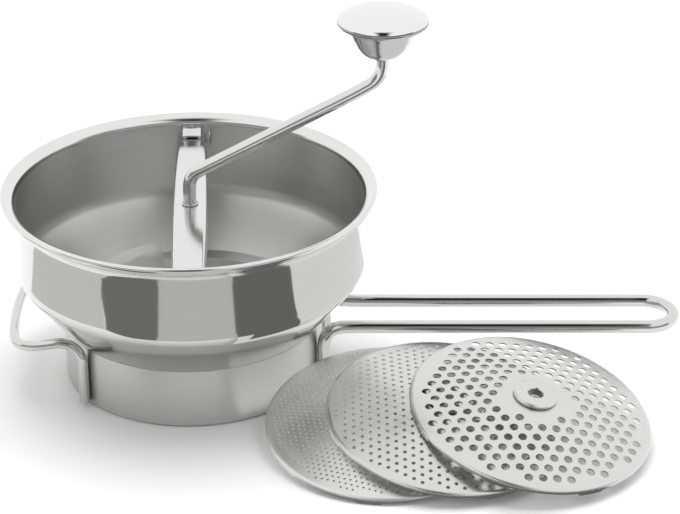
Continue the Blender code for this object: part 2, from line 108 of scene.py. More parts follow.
def spline(ctrl, step, closed=False):
    """Points along a centripetal spline through ctrl, about step apart."""
    c = [np.array(p, float) for p in ctrl]
    if closed:
        c = [c[-1]] + c + [c[0], c[1]]
    else:
        c = [c[0] * 2 - c[1]] + c + [c[-1] * 2 - c[-2]]
    out = []
    for i in range(1, len(c) - 2):
        p0, p1, p2, p3 = c[i - 1], c[i], c[i + 1], c[i + 2]
        t0 = 0.0
        t1 = t0 + max(np.linalg.norm(p1 - p0), 1e-6) ** 0.5
        t2 = t1 + max(np.linalg.norm(p2 - p1), 1e-6) ** 0.5
        t3 = t2 + max(np.linalg.norm(p3 - p2), 1e-6) ** 0.5
        m = max(1, int(round(np.linalg.norm(p2 - p1) / step)))
        for k in range(m):
            t = t1 + (t2 - t1) * k / m
            a1 = p0 * ((t1 - t) / (t1 - t0)) + p1 * ((t - t0) / (t1 - t0))
            a2 = p1 * ((t2 - t) / (t2 - t1)) + p2 * ((t - t1) / (t2 - t1))
            a3 = p2 * ((t3 - t) / (t3 - t2)) + p3 * ((t - t2) / (t3 - t2))
            b1 = a1 * ((t2 - t) / (t2 - t0)) + a2 * ((t - t0) / (t2 - t0))
            b2 = a2 * ((t3 - t) / (t3 - t1)) + a3 * ((t - t1) / (t3 - t1))
            out.append(b1 * ((t2 - t) / (t2 - t1)) + b2 * ((t - t1) / (t2 - t1)))
    if not closed:
        out.append(c[-2])
    return out


def arcs(corners, seg=6):
    """A polyline whose corners are rounded: each corner is (x, y, radius)."""
    out = []
    n = len(corners)
    for i, (x, y, r) in enumerate(corners):
        p = np.array((x, y), float)
        if r <= 0 or i == 0 or i == n - 1:
            out.append((x, y))
            continue
        a = np.array(corners[i - 1][:2], float) - p
        b = np.array(corners[i + 1][:2], float) - p
        la, lb = np.linalg.norm(a), np.linalg.norm(b)
        a, b = a / la, b / lb
        half = math.acos(max(-1.0, min(1.0, float(a @ b)))) / 2
        d = min(r / math.tan(half), 0.49 * la, 0.49 * lb)
        rr = d * math.tan(half)
        mid = (a + b) / np.linalg.norm(a + b)
        c = p + mid * (rr / math.sin(half))
        s, e = p + a * d - c, p + b * d - c
        ang = math.acos(max(-1.0, min(1.0, float(s @ e) / rr / rr)))
        for k in range(seg + 1):
            t = k / seg
            v = (s * math.sin((1 - t) * ang) + e * math.sin(t * ang)) / math.sin(ang) if ang > 1e-6 else s
            out.append(tuple(c + v))
    return out


def lathe(name, profile, mats, seg=160, face_mat=None, closed=True, at=MILL, turn=None, sharp=32.0):
    """Turn a profile (r, z) round Z.  face_mat(i) gives the material of profile segment i."""
    verts, faces, fm = [], [], []
    rings = []
    for r, z in profile:
        if r < 1e-6:
            rings.append([len(verts)])
            verts.append((0.0, 0.0, z))
        else:
            rings.append(list(range(len(verts), len(verts) + seg)))
            for k in range(seg):
                a = 2 * math.pi * k / seg
                verts.append((r * math.cos(a), r * math.sin(a), z))
    n = len(rings)
    area = sum(profile[i][0] * profile[(i + 1) % n][1] - profile[(i + 1) % n][0] * profile[i][1] for i in range(n))
    for i in range(n if closed else n - 1):
        a, b = rings[i], rings[(i + 1) % n]
        if len(a) == 1 and len(b) == 1:
            continue
        for k in range(seg):
            m = (k + 1) % seg
            if len(a) == 1:
                f = (a[0], b[m], b[k])
            elif len(b) == 1:
                f = (a[k], a[m], b[0])
            else:
                f = (a[k], a[m], b[m], b[k])
            faces.append(f if area > 0 else tuple(reversed(f)))
            fm.append(face_mat(i) if face_mat else 0)
    return make(name, verts, faces, mats, fm, at, turn, sharp)


def tube(name, pts, radius, mats, sides=24, cap=0.25, at=MILL, turn=None, closed_path=False):
    """Sweep a round bar along pts (mm), with softly rounded ends."""
    p = [np.array(q, float) for q in pts]
    n = len(p)
    tang = []
    for i in range(n):
        t = p[min(i + 1, n - 1)] - p[max(i - 1, 0)]
        tang.append(t / np.linalg.norm(t))
    up = np.array((0, 0, 1.0)) if abs(tang[0][2]) < 0.9 else np.array((0, 1.0, 0))
    side = np.cross(tang[0], up)
    side /= np.linalg.norm(side)
    rings = []
    sides_at = []
    for i in range(n):
        side = side - tang[i] * (side @ tang[i])
        side /= np.linalg.norm(side)
        sides_at.append((side.copy(), np.cross(tang[i], side)))
    rad = radius if callable(radius) else (lambda i: radius)
    sections = []
    c = cap * rad(0)
    for k in range(4):                       # rounded start
        a = math.pi / 2 * k / 4
        sections.append((p[0] + tang[0] * (c - c * math.cos(math.pi / 2 - a)) , rad(0) - c + c * math.sin(a) if k else rad(0) - c, 0))
    for i in range(n):
        if i == 0:
            sections.append((p[0] + tang[0] * c, rad(0), 0))
        elif i == n - 1:
            sections.append((p[-1] - tang[-1] * c, rad(n - 1), n - 1))
        else:
            sections.append((p[i], rad(i), i))
    for k in range(1, 5):                    # rounded end
        a = math.pi / 2 * k / 4
        sections.append((p[-1] - tang[-1] * (c - c * math.sin(a)), rad(n - 1) - c + c * math.cos(a), n - 1))
    verts, faces = [], []
    for q, r, i in sections:
        s, o = sides_at[i]
        base = len(verts)
        rings.append(base)
        for k in range(sides):
            a = 2 * math.pi * k / sides
            verts.append(tuple(q + r * (math.cos(a) * s + math.sin(a) * o)))
    for a, b in zip(rings[:-1], rings[1:]):
        for k in range(sides):
            m = (k + 1) % sides
            faces.append((a + k, a + m, b + m, b + k))
    faces.append(tuple(reversed(range(rings[0], rings[0] + sides))))
    faces.append(tuple(range(rings[-1], rings[-1] + sides)))
    return make(name, verts, faces, mats, None, at, turn, 50.0)


def prism(name, outline, lo, hi, place, mats, at=MILL, turn=None, bevel=0.3, sharp=32.0):
    """Extrude a closed outline between lo and hi, edges softened by a bevel."""
    n = len(outline)
    verts = [place(p, lo) for p in outline] + [place(p, hi) for p in outline]
    faces = [tuple(reversed(range(n))), tuple(range(n, 2 * n))]
    for i in range(n):
        j = (i + 1) % n
        faces.append((i, j, n + j, n + i))
    bm = bmesh.new()
    vs = [bm.verts.new(v) for v in verts]
    for f in faces:
        bm.faces.new([vs[i] for i in f])
    bmesh.ops.recalc_face_normals(bm, faces=bm.faces)
    if bm.calc_volume(signed=True) < 0:
        bmesh.ops.reverse_faces(bm, faces=bm.faces)
    if bevel > 0:
        edges = [e for e in bm.edges if len(e.link_faces) == 2 and e.calc_face_angle() > math.radians(25)]
        bmesh.ops.bevel(bm, geom=edges, offset=bevel, segments=3, profile=0.5, affect='EDGES', clamp_overlap=True)
    me = bpy.data.meshes.new(name)
    bmesh.ops.scale(bm, vec=(MM, MM, MM), verts=bm.verts)
    bm.to_mesh(me)
    bm.free()
    for m in mats:
        me.materials.append(m)
    me.shade_smooth()
    me.set_sharp_from_angle(angle=math.radians(sharp))
    return link(name, me, at, turn)


# ------------------------------------------------------------------ materials
def steel(name, base, rough, kind="plain", brush=0.0, rough_var=0.05, aniso=0.0, tint=0.03,
          bump=0.0, fine=900.0, cloud=18.0):
    """Stainless steel.  kind 'ring' brushes round Z, 'disc' round the disc's own axis, 'plain' has no direction."""
    mat = bpy.data.materials.new(name)
    mat.use_nodes = True
    nt = mat.node_tree
    nodes, links = nt.nodes, nt.links
    bsdf = nodes["Principled BSDF"]
    bsdf.inputs["Metallic"].default_value = 1.0
    bsdf.inputs["Anisotropic"].default_value = aniso
    if kind == "disc":
        attr = nodes.new("ShaderNodeAttribute")
        attr.attribute_name = "local"
        where = attr.outputs["Vector"]
    else:
        where = nodes.new("ShaderNodeTexCoord").outputs["Object"]
    if kind in ("ring", "disc"):
        sep = nodes.new("ShaderNodeSeparateXYZ")
        links.new(where, sep.inputs[0])
        xx = nodes.new("ShaderNodeMath"); xx.operation = 'MULTIPLY'
        yy = nodes.new("ShaderNodeMath"); yy.operation = 'MULTIPLY'
        links.new(sep.outputs["X"], xx.inputs[0]); links.new(sep.outputs["X"], xx.inputs[1])
        links.new(sep.outputs["Y"], yy.inputs[0]); links.new(sep.outputs["Y"], yy.inputs[1])
        ss = nodes.new("ShaderNodeMath"); ss.operation = 'ADD'
        links.new(xx.outputs[0], ss.inputs[0]); links.new(yy.outputs[0], ss.inputs[1])
        rt = nodes.new("ShaderNodeMath"); rt.operation = 'SQRT'
        links.new(ss.outputs[0], rt.inputs[0])
        rz = nodes.new("ShaderNodeMath"); rz.operation = 'MULTIPLY_ADD'
        rz.inputs[1].default_value = 0.73
        links.new(rt.outputs[0], rz.inputs[0]); links.new(sep.outputs["Z"], rz.inputs[2])
        sx = nodes.new("ShaderNodeMath"); sx.operation = 'MULTIPLY'; sx.inputs[1].default_value = 0.010
        sy = nodes.new("ShaderNodeMath"); sy.operation = 'MULTIPLY'; sy.inputs[1].default_value = 0.010
        links.new(sep.outputs["X"], sx.inputs[0]); links.new(sep.outputs["Y"], sy.inputs[0])
        comb = nodes.new("ShaderNodeCombineXYZ")
        links.new(sx.outputs[0], comb.inputs[0]); links.new(sy.outputs[0], comb.inputs[1])
        links.new(rz.outputs[0], comb.inputs[2])
        vec = comb.outputs[0]
    elif kind == "long":
        mp = nodes.new("ShaderNodeMapping")
        mp.inputs["Scale"].default_value = (0.015, 1.0, 1.0)
        links.new(where, mp.inputs["Vector"])
        vec = mp.outputs[0]
    else:
        vec = where
    fine_n = nodes.new("ShaderNodeTexNoise")
    fine_n.inputs["Scale"].default_value = fine
    fine_n.inputs["Detail"].default_value = 3.0
    fine_n.inputs["Roughness"].default_value = 0.6
    links.new(vec, fine_n.inputs["Vector"])
    cloud_n = nodes.new("ShaderNodeTexNoise")
    cloud_n.inputs["Scale"].default_value = cloud
    cloud_n.inputs["Detail"].default_value = 3.0
    links.new(where, cloud_n.inputs["Vector"])
    add = nodes.new("ShaderNodeMath"); add.operation = 'MULTIPLY_ADD'
    add.inputs[1].default_value = 0.6
    links.new(fine_n.outputs["Fac"], add.inputs[0])
    half = nodes.new("ShaderNodeMath"); half.operation = 'MULTIPLY'; half.inputs[1].default_value = 0.4
    links.new(cloud_n.outputs["Fac"], half.inputs[0])
    links.new(half.outputs[0], add.inputs[2])
    rr = nodes.new("ShaderNodeMapRange")
    rr.inputs["From Min"].default_value = 0.3
    rr.inputs["From Max"].default_value = 0.7
    rr.inputs["To Min"].default_value = max(0.02, rough - rough_var)
    rr.inputs["To Max"].default_value = rough + rough_var
    links.new(add.outputs[0], rr.inputs["Value"])
    links.new(rr.outputs[0], bsdf.inputs["Roughness"])
    ramp = nodes.new("ShaderNodeValToRGB")
    lo = [max(0.0, c * (1 - tint)) for c in base]
    hi = [min(1.0, c * (1 + tint)) for c in base]
    ramp.color_ramp.elements[0].position = 0.3
    ramp.color_ramp.elements[1].position = 0.7
    ramp.color_ramp.elements[0].color = (*lo, 1)
    ramp.color_ramp.elements[1].color = (*hi, 1)
    links.new(add.outputs[0], ramp.inputs["Fac"])
    links.new(ramp.outputs["Color"], bsdf.inputs["Base Color"])
    if bump > 0:
        b = nodes.new("ShaderNodeBump")
        b.inputs["Strength"].default_value = bump
        b.inputs["Distance"].default_value = 0.00005
        links.new(fine_n.outputs["Fac"], b.inputs["Height"])
        links.new(b.outputs[0], bsdf.inputs["Normal"])
    if aniso > 0:
        tan = nodes.new("ShaderNodeTangent")
        tan.direction_type = 'RADIAL'
        tan.axis = 'Z' if kind == "ring" else 'X'
        links.new(tan.outputs[0], bsdf.inputs["Tangent"])
        bsdf.inputs["Anisotropic Rotation"].default_value = 0.25      # highlights run across the brushing
    return mat


def plastic(name, base, rough):
    mat = bpy.data.materials.new(name)
    mat.use_nodes = True
    nt = mat.node_tree
    bsdf = nt.nodes["Principled BSDF"]
    coord = nt.nodes.new("ShaderNodeTexCoord")
    n = nt.nodes.new("ShaderNodeTexNoise")
    n.inputs["Scale"].default_value = 400.0
    nt.links.new(coord.outputs["Object"], n.inputs["Vector"])
    ramp = nt.nodes.new("ShaderNodeValToRGB")
    ramp.color_ramp.elements[0].color = (*[c * 0.94 for c in base], 1)
    ramp.color_ramp.elements[1].color = (*base, 1)
    nt.links.new(n.outputs["Fac"], ramp.inputs["Fac"])
    nt.links.new(ramp.outputs["Color"], bsdf.inputs["Base Color"])
    rr = nt.nodes.new("ShaderNodeMapRange")
    rr.inputs["To Min"].default_value = rough - 0.06
    rr.inputs["To Max"].default_value = rough + 0.06
    nt.links.new(n.outputs["Fac"], rr.inputs["Value"])
    nt.links.new(rr.outputs[0], bsdf.inputs["Roughness"])
    return mat


BOWL_OUT = steel("bowl_outside_polish", (0.66, 0.66, 0.65), 0.08, "ring", rough_var=0.03, aniso=0.2, bump=0.05, fine=700)
BOWL_IN = steel("bowl_inside_satin", (0.64, 0.64, 0.628), 0.33, "ring", rough_var=0.06, aniso=0.75, bump=0.25, fine=900, tint=0.05)
BOWL_LIP = steel("bowl_lip_polish", (0.70, 0.70, 0.695), 0.16, "ring", rough_var=0.03, fine=700)
SKIRT_OUT = steel("skirt_satin", (0.58, 0.58, 0.57), 0.36, "ring", rough_var=0.05, aniso=0.5, bump=0.15, fine=900)
WIRE = steel("wire_polish", (0.62, 0.62, 0.61), 0.07, "plain", rough_var=0.03, tint=0.02, fine=300)
BAR = steel("bar_polish", (0.68, 0.68, 0.68), 0.15, "plain", rough_var=0.02, tint=0.02, fine=200)
ROD = steel("rod_polish", (0.66, 0.66, 0.65), 0.09, "plain", rough_var=0.02, tint=0.02, fine=300)
KNOB = steel("knob_polish", (0.76, 0.76, 0.76), 0.08, "ring", rough_var=0.02, tint=0.02, fine=500)
# Painted shade: a dark band on the knob's rim that stands for the crease shadow between the cap and its rolled edge.
KNOB_RIM_PAINTED_SHADE = steel("knob_rim_painted_shade", (0.33, 0.33, 0.33), 0.14, "ring", rough_var=0.03, tint=0.03, fine=500)
CUP = steel("cup_polish", (0.60, 0.60, 0.59), 0.10, "ring", rough_var=0.02, tint=0.02, fine=500)
BLADE = steel("blade_satin", (0.80, 0.80, 0.79), 0.20, "plain", rough_var=0.05, tint=0.04, bump=0.1, fine=500)
DISC = steel("disc_sheet", (0.64, 0.64, 0.63), 0.27, "disc", rough_var=0.05, tint=0.04, bump=0.1, fine=700)
DISC_FINE = steel("fine_disc_sheet", (0.76, 0.76, 0.75), 0.40, "disc", rough_var=0.05, tint=0.04, bump=0.1, fine=700)
DISC_EDGE = steel("disc_cut_edge", (0.50, 0.50, 0.49), 0.30, "disc", rough_var=0.05, tint=0.04, fine=900)
SPRING_M = steel("spring_wire", (0.45, 0.45, 0.45), 0.22, "plain", rough_var=0.05, fine=400)
NYLON = plastic("bearing_plastic_natural", (0.72, 0.71, 0.67), 0.42)


def finish_piece(ob, body, slot, *nodes):
    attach(ob, body)
    if nodes:
        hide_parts(*nodes)
    return ob


# ------------------------------------------------------------------ bowl
RIM_R, RIM_Z = 120.0, 129.2
lip = spline([(112.3, 110.0), (112.3, 115.0), (112.8, 118.6), (114.5, 122.0), (116.9, 124.3), (118.8, 125.0),
              (119.7, 126.0), (119.95, 127.3), (119.5, 128.5), (118.3, 129.1), (117.0, 128.85), (115.2, 127.95),
              (113.4, 126.75), (112.1, 125.4), (111.5, 123.6), (111.32, 121.0), (111.3, 117.0), (111.3, 110.0)], 0.7)
outer = arcs([(84.2, 40.3, 0), (112.3, 74.9, 15), (112.3, 110.0, 0)], 18)
inner = arcs([(111.3, 110.0, 0), (111.3, 74.6, 14), (83.4, 40.4, 1.6), (72.0, 41.3, 0)], 18)
inner = arcs([(111.3, 110.0, 0), (111.3, 75.2, 14), (83.9, 41.3, 1.5), (72.4, 41.3, 0)], 18)
inner_edge = [(72.1, 41.15), (72.0, 40.8), (72.1, 40.45), (72.4, 40.3), (83.0, 40.3)]
bowl_profile = [tuple(p) for p in outer[:-1]] + [tuple(p) for p in lip[:-1]] + [tuple(p) for p in inner] + inner_edge
n_out, n_lip = len(outer) - 1, len(lip) - 1
top_i = n_out + max(range(n_lip), key=lambda k: lip[k][1])
lip_a = n_out + next(k for k in range(n_lip) if lip[k][1] > 117.5)
lip_b = n_out + max(k for k in range(n_lip) if lip[k][1] > 122.5)


def bowl_mat(i):
    if i < lip_a:
        return 0
    if i <= lip_b:
        return 1
    if i < len(bowl_profile) - 3:
        return 2
    return 0


bowl = lathe("bowl", bowl_profile, [BOWL_OUT, BOWL_LIP, BOWL_IN], 256, bowl_mat)
finish_piece(bowl, "mill", "satin_steel", "bowl_body")

skirt_prof = arcs([(84.0, 39.9, 0), (84.0, 0.05, 2.2), (78.7, 0.05, 0)], 8) + \
    list(reversed(arcs([(83.0, 39.9, 0), (83.0, 1.05, 1.3), (78.7, 1.05, 0)], 8)))
skirt = lathe("base_ring", skirt_prof, [SKIRT_OUT], 256)
finish_piece(skirt, "mill", "satin_steel", "base_skirt")

for k in range(3):
    lug = prism("disc_lug_piece_%d" % (k + 1),
                [(77.65, 41.6), (81.75, 41.6), (81.75, 42.6), (78.75, 42.6), (78.75, 44.95), (77.65, 44.95)],
                -3.95, 3.95, lambda p, q: (p[0], q, p[1]), [SKIRT_OUT],
                turn=Matrix.Rotation(math.radians(30 + 120 * k), 4, 'Z'), bevel=0.25)
    finish_piece(lug, "mill", "satin_steel", "disc_lug_%d" % (k + 1))

# ------------------------------------------------------------------ wire handles
HW, HZ, HH, HEND, HFOOT = 4.25, 36.5, 18.2, 317.5, 23.0
foot_x = math.sqrt((84.0 + HW + 0.3) ** 2 - HFOOT ** 2)
end_c = HEND - HW - HH


def long_half(s):
    return [(foot_x, s * HFOOT, 3.0), (foot_x, s * HFOOT, 14.0), (foot_x, s * HFOOT, 26.0),
            (foot_x + 0.9, s * (HFOOT - 0.3), 31.0), (foot_x + 4.0, s * (HFOOT - 1.8), 35.0),
            (foot_x + 9.5, s * (HFOOT - 3.7), HZ - 0.1), (foot_x + 17.0, s * (HH + 0.3), HZ),
            (foot_x + 26.0, s * HH, HZ)]


path = spline(long_half(-1), 1.5)
for k in range(1, 24):
    path.append(np.array((foot_x + 26.0 + (end_c - foot_x - 26.0) * k / 24, -HH, HZ)))
for k in range(0, 33):
    a = -math.pi / 2 + math.pi * k / 32
    path.append(np.array((end_c + HH * math.cos(a), HH * math.sin(a), HZ)))
for k in range(23, 0, -1):
    path.append(np.array((foot_x + 26.0 + (end_c - foot_x - 26.0) * k / 24, HH, HZ)))
path += list(reversed(spline(long_half(1), 1.5)))
handle = tube("long_wire_handle", path, HW, [WIRE], 32, 0.35)
finish_piece(handle, "mill", "polished_steel", "long_handle")

PW = 3.35
hr = 84.0 + PW + 0.3
hx, hy = hr * math.cos(math.radians(220.0)), -hr * math.sin(math.radians(220.0))
half = [(hx, -hy, 3.0), (hx, -hy, 16.0), (hx, -hy, 28.0), (hx - 0.4, -hy, 33.5),
        (hx - 3.0, -hy + 0.3, 39.4), (hx - 7.6, -hy + 0.7, 43.2), (hx - 13.5, -55.0, 44.6),
        (hx - 21.0, -55.0, 43.8), (hx - 29.0, -54.4, 42.4), (hx - 36.5, -51.8, 41.2),
        (hx - 42.0, -46.0, 40.4), (hx - 45.0, -37.5, 40.0), (hx - 47.0, -22.0, 39.8),
        (hx - 47.9, 0.0, 39.6)]
ctrl = half + [(x, -y, z) for x, y, z in reversed(half[:-1])]
helper = tube("helper_wire_handle", spline(ctrl, 1.5), PW, [WIRE], 28, 0.35)
finish_piece(helper, "mill", "polished_steel", "helper_handle")

# ------------------------------------------------------------------ crossbar and brackets
TURN = Matrix.Rotation(math.radians(2.6), 4, 'Z')
HALF_TURN = Matrix.Rotation(math.pi, 4, 'Z')
BAR_TOP, BAR_HALF, BAR_W, BAR_W_END, BAR_T, BAR_F = 115.8, 108.3, 11.2, 9.8, 1.3, 9.0


def bar_section(hw):
    f, t = BAR_F, BAR_T
    o = arcs([(-hw, -f, 0), (-hw, 0.0, 2.6), (hw, 0.0, 2.6), (hw, -f, 0)], 7)
    i = arcs([(hw - t, -f, 0), (hw - t, -t, 1.4), (-hw + t, -t, 1.4), (-hw + t, -f, 0)], 7)
    return o + i


verts, faces, rings = [], [], []
for j in range(41):
    s = -1 + 2 * j / 40
    hw = BAR_W + (BAR_W_END - BAR_W) * s * s - (0.9 if j in (0, 40) else 0.0)
    if j in (0, 40):
        s *= 0.9995
    sec = bar_section(hw)
    rings.append(len(verts))
    for x, z in sec:
        verts.append((x, s * BAR_HALF, BAR_TOP + z))
m_sec = len(sec)
for a, b in zip(rings[:-1], rings[1:]):
    for k in range(m_sec):
        m = (k + 1) % m_sec
        faces.append((a + k, b + k, b + m, a + m))
faces.append(tuple(range(rings[0], rings[0] + m_sec)))
faces.append(tuple(reversed(range(rings[-1], rings[-1] + m_sec))))
bar = make("bar_channel", verts, faces, [BAR], None, MILL, TURN, 40.0)
hole = lathe("bar_hole_tool", [(0, 108), (5.2, 108), (5.2, 121), (0, 121)], [BAR], 48, closed=False)
mod = bar.modifiers.new("hole", 'BOOLEAN')
mod.operation = 'DIFFERENCE'
mod.solver = 'EXACT'
mod.object = hole
bpy.context.view_layer.update()
dg = bpy.context.evaluated_depsgraph_get()
cut_mesh = bpy.data.meshes.new_from_object(bar.evaluated_get(dg))
bar.modifiers.clear()
bar.data = cut_mesh
bar.data.shade_smooth()
bar.data.set_sharp_from_angle(angle=math.radians(35))
bpy.data.objects.remove(hole)
finish_piece(bar, "bar", "polished_steel", "crossbar")

bracket = [(110.5, 104.0), (110.5, 124.6), (109.3, 124.6), (109.3, 121.0), (103.9, 117.7),
           (103.9, 116.5), (104.5, 116.5), (109.3, 119.4), (109.3, 104.0)]
fin = [(105.5, 108.5), (109.4, 107.0), (109.4, 119.2), (105.5, 117.6)]
for nm, t in (("back", TURN), ("front", TURN @ HALF_TURN)):
    b = prism("bar_bracket_" + nm, bracket, -6.15, 6.15, lambda p, q: (q, p[0], p[1]), [BAR], turn=t, bevel=0.2)
    finish_piece(b, "mill", "polished_steel", "bracket_" + nm)
    b = prism("bar_fin_" + nm, fin, 11.65, 12.55, lambda p, q: (q, p[0], p[1]), [SKIRT_OUT], turn=t, bevel=0.3)
    finish_piece(b, "mill", "satin_steel", "bar_stop_" + nm)

# ------------------------------------------------------------------ crank
slope = 0.5377
rod_ctrl = [(0, 47.6), (0, 66.0), (0, 90.0), (0, 112.0), (0, 126.5), (0.5, 131.5), (2.6, 136.0),
            (6.2, 139.1), (11.0, 141.7)]
for r in (40.0, 72.0, 104.0):
    rod_ctrl.append((r, 141.7 + (r - 11.0) * slope))
rod_ctrl += [(111.2, 195.9), (117.0, 199.8), (120.6, 204.7), (122.0, 210.4), (KNOB_X / MM, 215.0),
             (KNOB_X / MM, 224.0), (KNOB_X / MM, 232.3)]
rod = tube("crank_bar", spline([(r, 0, z) for r, z in rod_ctrl], 1.4), 4.2, [ROD], 36, 0.25)
finish_piece(rod, "crank", "polished_steel", "crank_rod")

KNOB_AT = MILL + Vector((KNOB_X, 0, 0))
KR, KZ, KD = 28.7, 239.9, 8.8
dome = [(0.0, KZ + KD)]
for k in range(1, 25):
    a = math.pi / 2 * (1 - k / 24)
    dome.append((KR * math.cos(a), KZ + KD * math.sin(a)))
cap_prof = dome + [tuple(p) for p in spline([(KR, KZ), (28.55, 239.2), (28.1, 238.55), (27.3, 238.25), (26.2, 238.2),
                                             (24.05, 238.22)], 0.5)[1:]] + \
    [(24.05, 239.05), (26.7, 239.35), (27.3, 240.9), (24.0, 243.6), (15.0, 246.4), (0.0, 247.4)]
# The cap's outermost rings, beyond r 28.2, take the painted rim shade.
cap = lathe("knob_top", cap_prof, [KNOB, KNOB_RIM_PAINTED_SHADE], 128, lambda i: 1 if min(cap_prof[i][0], cap_prof[min(i + 1, len(cap_prof) - 1)][0]) > 28.2 else 0,
            closed=False, at=KNOB_AT)
finish_piece(cap, "knob", "polished_steel", "knob_cap")
cup_out = spline([(24.1, 237.75), (23.65, 236.3), (22.6, 234.7), (21.4, 232.9), (20.0, 230.4), (18.6, 228.0), (16.6, 224.3),
                  (14.2, 220.95), (11.4, 218.35), (8.4, 216.85), (5.05, 216.25)], 0.8)
cup_in = spline([(5.05, 217.15), (8.0, 217.8), (10.8, 219.1), (13.4, 221.5), (15.7, 224.8), (17.7, 228.4), (20.5, 233.6),
                 (22.8, 236.7), (23.35, 237.75)], 2.0)
cup = lathe("knob_bottom", [tuple(p) for p in cup_out] + [tuple(p) for p in cup_in], [CUP], 128, at=KNOB_AT)
finish_piece(cup, "knob", "polished_steel", "knob_cup")


# ------------------------------------------------------------------ discs
DR, DF, DTAB, DT, DCONE, DHUB, DFLAT, DEDGE = 76.0, 1.9, 3.4, 0.8, 12.0, 2.7, 20.0, 73.4
POSES = {"fine": (125.13, -100.03, 14.57, -0.0160, -0.1448),
         "medium": (162.73, -102.92, 19.92, 0.0890, -0.1408),
         "coarse": (213.57, -104.12, 23.62, 0.1657, -0.1381)}


def cone_top(r):
    if r <= DFLAT:
        return DCONE
    return DCONE - (r - DFLAT) * (DCONE - 1.0) / (DEDGE - DFLAT)


def disc_frame(pose):
    x, y, z, tx, ty = pose
    nrm = Vector((tx, ty, 1.0)).normalized()
    u = Vector((0, 1, 0)).cross(nrm).normalized()
    v = nrm.cross(u).normalized()
    m = Matrix(((u.x, v.x, nrm.x, x * MM), (u.y, v.y, nrm.y, y * MM), (u.z, v.z, nrm.z, z * MM), (0, 0, 0, 1)))
    return Matrix.Translation(MILL) @ m


